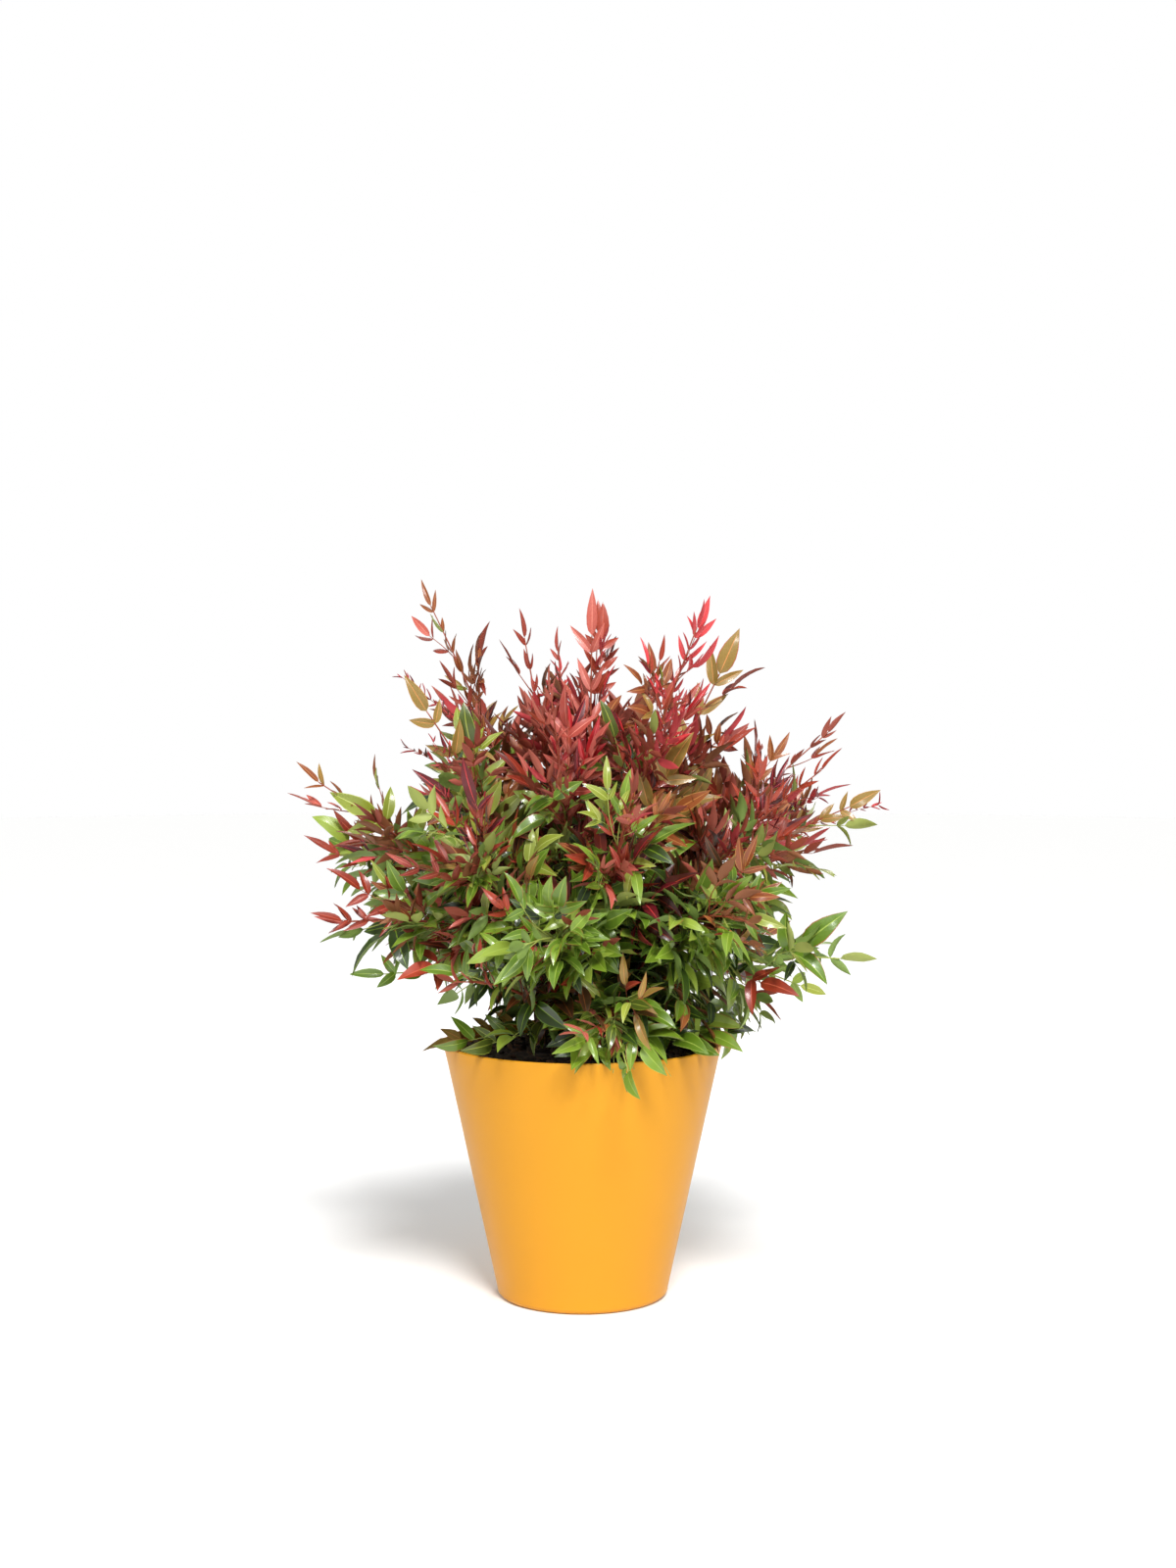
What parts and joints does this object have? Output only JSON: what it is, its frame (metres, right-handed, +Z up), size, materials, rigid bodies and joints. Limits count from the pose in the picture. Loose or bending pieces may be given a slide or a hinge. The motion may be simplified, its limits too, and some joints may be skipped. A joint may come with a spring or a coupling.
{
  "type": "potted heavenly bamboo",
  "caption": "Clump of slender upright canes with sprays of pointed leaflets, green below and bronze, rose and crimson above, growing in a tapered round planter.",
  "frame": {"origin": "centre of the planter's flat underside", "axes": "+Z up along the planter axis, +X to the right and +Y away as seen from the front"},
  "size_m": [0.629, 0.5552, 0.7542],
  "materials": {
    "planter": "smooth moulded plastic with a satin sheen, warm orange yellow",
    "potting_mix": "moist dark brown bark and peat potting mix, rough",
    "cane": "brown ribbed cane bark with old leaf-sheath rings, matte",
    "leaf_green": "mid to deep green leaf with a waxy sheen",
    "leaf_lime": "yellow green young leaf with a waxy sheen",
    "leaf_bronze": "bronze leaf with a waxy sheen",
    "leaf_brick": "brick red leaf with a waxy sheen",
    "leaf_rose": "dusty rose leaf with a waxy sheen",
    "leaf_crimson": "bright crimson leaf with a waxy sheen"
  },
  "bodies": {
    "root": {"planter": "planter", "potting_mix": "potting_mix", "cane_spire_1": "cane", "cane_spire_2": "cane", "cane_spire_3": "cane", "cane_shoulder_1": "cane", "cane_shoulder_2": "cane", "cane_shoulder_3": "cane", "cane_shoulder_4": "cane", "cane_shoulder_5": "cane", "cane_shoulder_6": "cane", "cane_shoulder_7": "cane", "cane_flank_1": "cane", "cane_flank_2": "cane", "cane_flank_3": "cane", "cane_flank_4": "cane", "cane_flank_5": "cane", "cane_flank_6": "cane", "cane_flank_7": "cane", "foliage_spire_1": "leaf_brick", "foliage_spire_2": "leaf_rose", "foliage_spire_3": "leaf_crimson", "foliage_shoulder_1": "leaf_bronze", "foliage_shoulder_2": "leaf_brick", "foliage_shoulder_3": "leaf_rose", "foliage_shoulder_4": "leaf_bronze", "foliage_shoulder_5": "leaf_lime", "foliage_shoulder_6": "leaf_rose", "foliage_shoulder_7": "leaf_crimson", "foliage_flank_1": "leaf_brick", "foliage_flank_2": "leaf_bronze", "foliage_flank_3": "leaf_crimson", "foliage_flank_4": "leaf_bronze", "foliage_flank_5": "leaf_lime", "foliage_flank_6": "leaf_brick", "foliage_flank_7": "leaf_brick", "foliage_apron_1": "leaf_lime", "foliage_apron_2": "leaf_green", "foliage_apron_3": "leaf_brick", "foliage_apron_4": "leaf_green", "foliage_apron_5": "leaf_brick", "foliage_apron_6": "leaf_green", "foliage_apron_7": "leaf_bronze", "foliage_skirt_1": "leaf_green", "foliage_skirt_2": "leaf_green", "foliage_skirt_3": "leaf_green", "foliage_skirt_4": "leaf_green", "foliage_skirt_5": "leaf_brick", "foliage_skirt_6": "leaf_green", "foliage_skirt_7": "leaf_green"}
  },
  "joints": []
}
